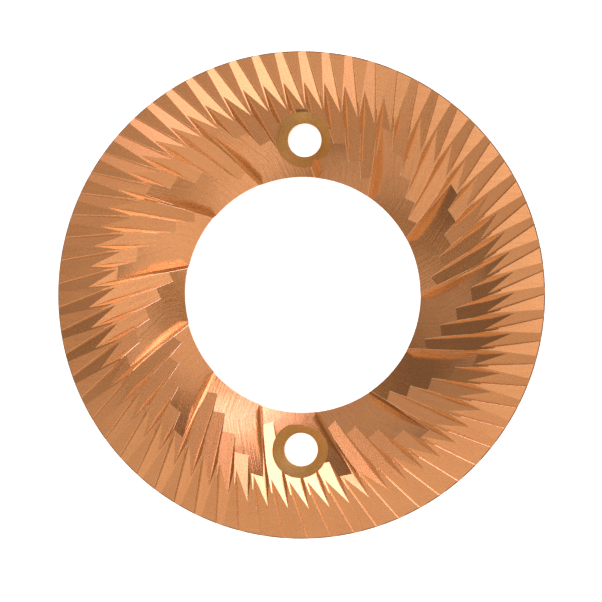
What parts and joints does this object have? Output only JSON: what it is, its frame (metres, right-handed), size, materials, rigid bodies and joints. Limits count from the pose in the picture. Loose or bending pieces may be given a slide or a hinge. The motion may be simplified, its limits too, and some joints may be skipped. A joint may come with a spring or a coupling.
{
  "type": "flat coffee grinder burr",
  "caption": "Flat toothed steel ring burr with slanted grinding grooves, breaker channels into the bore and two countersunk screw holes.",
  "frame": {"origin": "centre of the flat back face, on the burr's axis", "axes": "+Z along the axis, out of the toothed face; the two screw holes lie on Y"},
  "size_m": [0.065, 0.065, 0.009],
  "materials": {
    "coated_steel": "ground tool steel with a satin copper-bronze hard coating"
  },
  "bodies": {
    "root": {"grinding_burr": "coated_steel"}
  },
  "joints": []
}
